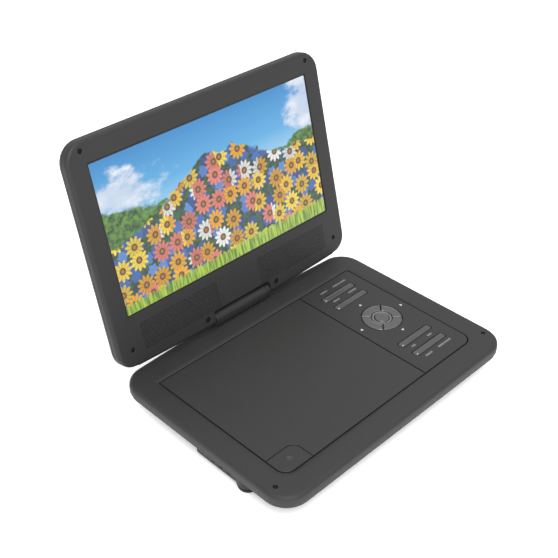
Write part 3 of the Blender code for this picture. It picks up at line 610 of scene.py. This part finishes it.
def perforated(mesh, left, right, low, high):
    """A sheet of cells, each around one hole, in rows that are staggered like bricks.

    Neighbouring cells share their corners. The sheet's edge is the returned loop.
    """
    columns = round((right - left) / GRILLE_PITCH)
    rows = round((high - low) / ROW_PITCH)
    half = (right - left) / columns / 2
    tall = (high - low) / rows
    net = [
        ring(mesh, [(left + k * half, low + row * tall) for k in range(2 * columns + 1)], on_lid(LID_FRONT))
        for row in range(rows + 1)
    ]
    for row in range(rows):
        below, above = net[row:row + 2]
        start = row % 2
        for k in range(start, 2 * columns - 1, 2):
            frame_points = below[k:k + 3] + above[k + 2:k - 1 if k else None:-1]
            perforation(mesh, frame_points, left + (k + 1) * half, low + (row + 0.5) * tall)
        if start:
            for k in (0, 2 * columns - 1):
                mesh.faces.new((below[k], below[k + 1], above[k + 1], above[k])).material_index = 1
    right_side = [row[-1] for row in net[1:-1]]
    left_side = [row[0] for row in net[1:-1]]
    return net[0] + right_side + net[-1][::-1] + left_side[::-1]


def perforation(mesh, corners, x, v):
    """One hole, inside a cell whose six corners start at its low left and run anticlockwise."""
    around = [(x + GRILLE_HOLE * math.cos(a), v + GRILLE_HOLE * math.sin(a))
              for a in (math.pi / 4 * (i - 3.5) for i in range(8))]
    lip = ring(mesh, around, on_lid(LID_FRONT))
    deep = ring(mesh, around, on_lid(LID_FRONT + GRILLE_DEPTH))
    low_left, low_middle, low_right, high_right, high_middle, high_left = corners
    sheet = (
        (low_left, low_middle, lip[1]), (low_middle, lip[2], lip[1]), (low_middle, low_right, lip[2]),
        (low_right, lip[3], lip[2]), (low_right, high_right, lip[4], lip[3]), (high_right, lip[5], lip[4]),
        (high_right, high_middle, lip[5]), (high_middle, lip[6], lip[5]), (high_middle, high_left, lip[6]),
        (high_left, lip[7], lip[6]), (high_left, low_left, lip[0], lip[7]), (low_left, lip[1], lip[0]),
    )
    for corner_set in sheet:
        mesh.faces.new(corner_set).material_index = 1
    # The hole's wall and floor carry near-black painted shade.
    for wall in join(mesh, lip, deep):
        wall.material_index = 2
    mesh.faces.new(deep).material_index = 2


def bezel():
    mesh = bmesh.new()
    steps = 7
    rings = [ring(mesh, lid_outline(0.0), on_lid(LID_SPLIT))]
    for i in range(steps + 1):
        turn = math.pi / 2 * i / steps
        inset = EDGE_ROUND * (1 - math.cos(turn))
        depth = LID_FRONT + EDGE_ROUND * (1 - math.sin(turn))
        rings.append(ring(mesh, lid_outline(inset, notch=0.15 * inset), on_lid(depth)))
    for first, second in zip(rings, rings[1:]):
        join(mesh, first, second)

    step = [
        ring(mesh, screen_outline(0.5), on_lid(LID_FRONT)),
        ring(mesh, screen_outline(0.14), on_lid(LID_FRONT + 0.14)),
        ring(mesh, screen_outline(0.0), on_lid(LID_FRONT + 0.5)),
        ring(mesh, screen_outline(0.0), on_lid(LID_FRONT + 1.6)),
    ]
    for first, second in zip(step, step[1:]):
        join(mesh, first, second)

    holes = [pocket(mesh, x, v, PLUG_HOLE) for x, v in PLUG_PLACES]
    holes += [pocket(mesh, x, v, CAP_HOLE) for x, v in CAP_PLACES]
    windows = []
    for side in (-1, 1):
        left, right = sorted((side * GRILLE_X[0], side * GRILLE_X[1]))
        windows.append(perforated(mesh, left, right, *GRILLE_V))
    fill(mesh, rings[-1], step[0], *holes, *windows)

    inner = [
        ring(mesh, lid_outline(LID_WALL, LID_SOLID_EDGE, 1.0), on_lid(LID_FRONT + 1.6)),
        ring(mesh, lid_outline(LID_WALL, LID_SOLID_EDGE, 1.0), on_lid(LID_SPLIT)),
    ]
    join(mesh, *inner)
    fill(mesh, inner[0], step[-1])
    join(mesh, inner[1], rings[0])
    bmesh.ops.recalc_face_normals(mesh, faces=mesh.faces)
    made = add_piece("lid_bezel", mesh, SHELL, "lid")
    made.data.materials.append(GRILLE)
    made.data.materials.append(PAINTED_HOLE_SHADE)
    smooth(made)
    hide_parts("lid_front_bezel")


def screen_picture():
    """The display's glass, a thin slab whose front carries the picture."""
    mesh = bmesh.new()
    uv = mesh.loops.layers.uv.new("screen")
    gap = -0.3
    front = ring(mesh, screen_outline(gap), on_lid(LID_FRONT + 0.7))
    rim = ring(mesh, screen_outline(gap), on_lid(LID_FRONT + 2.6))
    join(mesh, front, rim)
    mesh.faces.new(list(reversed(rim)))
    edge = ring(mesh, screen_outline(-1.2), on_lid(LID_FRONT + 0.7))
    join(mesh, front, edge)
    face = mesh.faces.new(edge)
    face.material_index = 1
    for loop, (x, v) in zip(face.loops, screen_outline(-1.2)):
        loop[uv].uv = ((x + SCREEN_HALF) / (2 * SCREEN_HALF), (v - SCREEN_LOW) / (SCREEN_HIGH - SCREEN_LOW))
    made = add_piece("display", mesh, BLACK, "lid")
    made.data.materials.append(PICTURE)
    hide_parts("lcd_panel")


# ---------------------------------------------------------------- keys

BAR_KEYS = ("menu_key", "mode_key", "track_key", "volume_key")
NAV_KEYS = ("nav_right", "nav_up", "nav_left", "nav_down")
KEY_ROUND = 1.05
KEY_DISH = 0.22
BAR_CORNER = 1.3
DOT_RADIUS = 0.6
DOT_SUNK = 0.4
DOT_PROUD = 0.02
NAV_HOLE = 8.9
NAV_GAP = 0.35


def in_device(node):
    """A node's lowest and highest corners in the device frame, in millimetres."""
    return [(corner - DEVICE_ORIGIN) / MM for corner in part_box(node)]


def cap_shape(mesh, outline, low, high):
    """A key's body: straight sides, a rounded shoulder and a shallow dish.

    outline(inset) gives the key's outline, always with the same number of points.
    """
    steps = 5
    levels = [(0.0, low)]
    for i in range(steps + 1):
        turn = math.pi / 2 * i / steps
        levels.append((KEY_ROUND * (1 - math.cos(turn)), high - KEY_ROUND * (1 - math.sin(turn))))
    levels += [(KEY_ROUND + 0.5, high - 0.5 * KEY_DISH), (KEY_ROUND + 1.2, high - KEY_DISH)]
    rings = [
        [mesh.verts.new(device(x, y, z)) for x, y in outline(inset)]
        for inset, z in levels
    ]
    for first, second in zip(rings, rings[1:]):
        join(mesh, first, second)
    mesh.faces.new(rings[-1])
    mesh.faces.new(list(reversed(rings[0])))


def bar_keys():
    """Long rocker keys, each with a pale dot at its near left end."""
    for name in BAR_KEYS:
        low, high = in_device(name)
        mesh = bmesh.new()

        def outline(inset):
            corner = max(BAR_CORNER - inset, 0.3)
            return rounded(low.x + inset, high.x - inset, low.y + inset, high.y - inset, corner)

        cap_shape(mesh, outline, low.z, high.z)
        spot = circle(low.x + 2.0, low.y + 1.5, DOT_RADIUS, 16)
        for face in patch(mesh, spot, high.z - DOT_SUNK, high.z + DOT_PROUD):
            face.material_index = 1
        made = add_piece(name + "_cap", mesh, KEYS, name)
        made.data.materials.append(WHITE_INK)
        smooth(made)
        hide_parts(name)


def sector(centre, outer, quarter, inset, steps=16):
    """One quarter of the navigation wheel, its sides pulled in by inset."""
    points = []
    for radius, direction in ((outer - inset, 1), (NAV_HOLE + inset, -1)):
        spread = math.pi / 4 - math.asin((NAV_GAP + 0.5 * inset) / radius)
        for i in range(steps + 1):
            turn = quarter + direction * spread * (2 * i / steps - 1)
            points.append((centre.x + radius * math.cos(turn), centre.y + radius * math.sin(turn)))
    return points


def wheel_keys():
    """The four direction keys and the round key in their middle."""
    low, high = in_device("nav_right")
    ok_low, ok_high = in_device("ok_key")
    centre = (ok_low + ok_high) / 2
    outer = high.x - centre.x
    for number, name in enumerate(NAV_KEYS):
        mesh = bmesh.new()
        quarter = number * math.pi / 2
        cap_shape(mesh, lambda inset: sector(centre, outer, quarter, inset), low.z, high.z)
        made = add_piece(name + "_cap", mesh, WHEEL, name)
        smooth(made)
        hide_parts(name)
    mesh = bmesh.new()
    radius = ok_high.x - centre.x
    cap_shape(mesh, lambda inset: circle(centre.x, centre.y, radius - inset, 64), ok_low.z, ok_high.z)
    made = add_piece("ok_key_cap", mesh, WHEEL, "ok_key")
    smooth(made)
    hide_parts("ok_key")


# ---------------------------------------------------------------- printed marks

PANEL_TOP = (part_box("control_panel")[1].z - BASE_TOP) / MM
PRINT_THICK = 0.04
CAPTIONS = (
    (-35.3, 65.2, 73.6), (-35.3, 81.1, 97.0), (-50.8, 65.2, 73.6), (-50.8, 84.5, 94.0),
    (-137.2, 65.6, 70.2), (-137.2, 86.1, 91.5), (-152.5, 64.7, 72.6), (-152.5, 81.1, 97.0),
)
ARROWS = ((78.1, -70.2, 90), (78.1, -117.5, -90), (53.3, -93.9, 180), (103.3, -94.4, 0))
OPEN_MARK = (-94.1, -154.8)


def printed(mesh, points):
    """A thin raised patch of ink on the control panel."""
    patch(mesh, points, PANEL_TOP, PANEL_TOP + PRINT_THICK)


def captions():
    """Rows of short strokes where the keys' captions are; they spell nothing."""
    draw = random.Random(7)
    mesh = bmesh.new()
    for y, left, right in CAPTIONS:
        x = left
        while x < right - 0.5:
            wide = draw.uniform(0.7, 1.15)
            wide = min(wide, right - x)
            tall = draw.choice((0.75, 0.95, 0.95))
            printed(mesh, ((x, y - tall), (x + wide, y - tall), (x + wide, y + tall), (x, y + tall)))
            x += wide + 0.42
    add_piece("key_captions", mesh, INK, "base")


def open_mark():
    """A faint triangle over a bar on the door's button, for opening."""
    _, high = in_device("open_button")
    x, y = OPEN_MARK
    left, right = x - 2.4, x + 2.4
    triangle = ((left, y - 0.4), (right, y - 0.4), (x, y + 2.6))
    bar = ((left, y - 2.0), (right, y - 2.0), (right, y - 1.2), (left, y - 1.2))
    mesh = bmesh.new()
    for shape in (triangle, bar):
        patch(mesh, shape, high.z, high.z + PRINT_THICK)
    add_piece("open_mark", mesh, FAINT_INK, "open_button")


def arrows():
    """A small triangle outside each direction key, pointing away from the wheel."""
    mesh = bmesh.new()
    for x, y, heading in ARROWS:
        turn = math.radians(heading)
        shape = []
        for forward, across in ((1.5, 0.0), (-0.9, 1.4), (-0.9, -1.4)):
            shape.append((x + forward * math.cos(turn) - across * math.sin(turn),
                          y + forward * math.sin(turn) + across * math.cos(turn)))
        printed(mesh, shape)
    add_piece("arrow_marks", mesh, WHITE_INK, "base")


# ---------------------------------------------------------------- studio

def camera():
    made = bpy.data.objects.new("camera", bpy.data.cameras.new("camera"))
    bpy.context.scene.collection.objects.link(made)
    out = Vector((math.sin(CAMERA_AZIMUTH) * math.cos(CAMERA_ELEVATION),
                  -math.cos(CAMERA_AZIMUTH) * math.cos(CAMERA_ELEVATION),
                  math.sin(CAMERA_ELEVATION)))
    made.location = CAMERA_TARGET + out * CAMERA_DISTANCE
    made.rotation_euler = (-out).to_track_quat("-Z", "Y").to_euler()
    made.data.lens = LENS
    made.data.sensor_width = 36.0
    bpy.context.scene.camera = made


def area_light(name, place, size, power, target=(0.0, 0.0, 0.05)):
    data = bpy.data.lights.new(name, "AREA")
    data.size = size
    data.energy = power
    made = bpy.data.objects.new(name, data)
    bpy.context.scene.collection.objects.link(made)
    made.location = place
    made.rotation_euler = (Vector(target) - Vector(place)).to_track_quat("-Z", "Y").to_euler()


def studio():
    scene = bpy.context.scene
    scene.view_settings.view_transform = "Standard"
    world = bpy.data.worlds.new("studio")
    scene.world = world
    world.use_nodes = True
    world.node_tree.nodes["Background"].inputs["Color"].default_value = (1, 1, 1, 1)
    world.node_tree.nodes["Background"].inputs["Strength"].default_value = 1.0
    area_light("key_light", (-0.65, -0.72, 1.35), 0.6, 17.0)
    area_light("fill_light", (-1.0, -1.5, 0.5), 1.0, 6.0)
    area_light("top_light", (0.5, 0.2, 1.6), 1.4, 8.0)

    mesh = bmesh.new()
    bmesh.ops.create_grid(mesh, x_segments=1, y_segments=1, size=4.0)
    data = bpy.data.meshes.new("floor")
    mesh.to_mesh(data)
    mesh.free()
    floor = bpy.data.objects.new("floor", data)
    scene.collection.objects.link(floor)
    g = Graph("pale_floor")
    tone = g.step(g.noise(g.place(), 3.0), 0.3, 0.7)
    paint = g.mix(tone, (0.93, 0.93, 0.93), (0.95, 0.95, 0.95))
    data.materials.append(g.finish(base_color=paint, roughness=0.9, emission_color=(1.0, 1.0, 1.0)))
    g.shader.inputs["Emission Strength"].default_value = 0.3


dress_nodes()
camera()
studio()
bezel()
screen_picture()
bar_keys()
wheel_keys()
captions()
open_mark()
arrows()
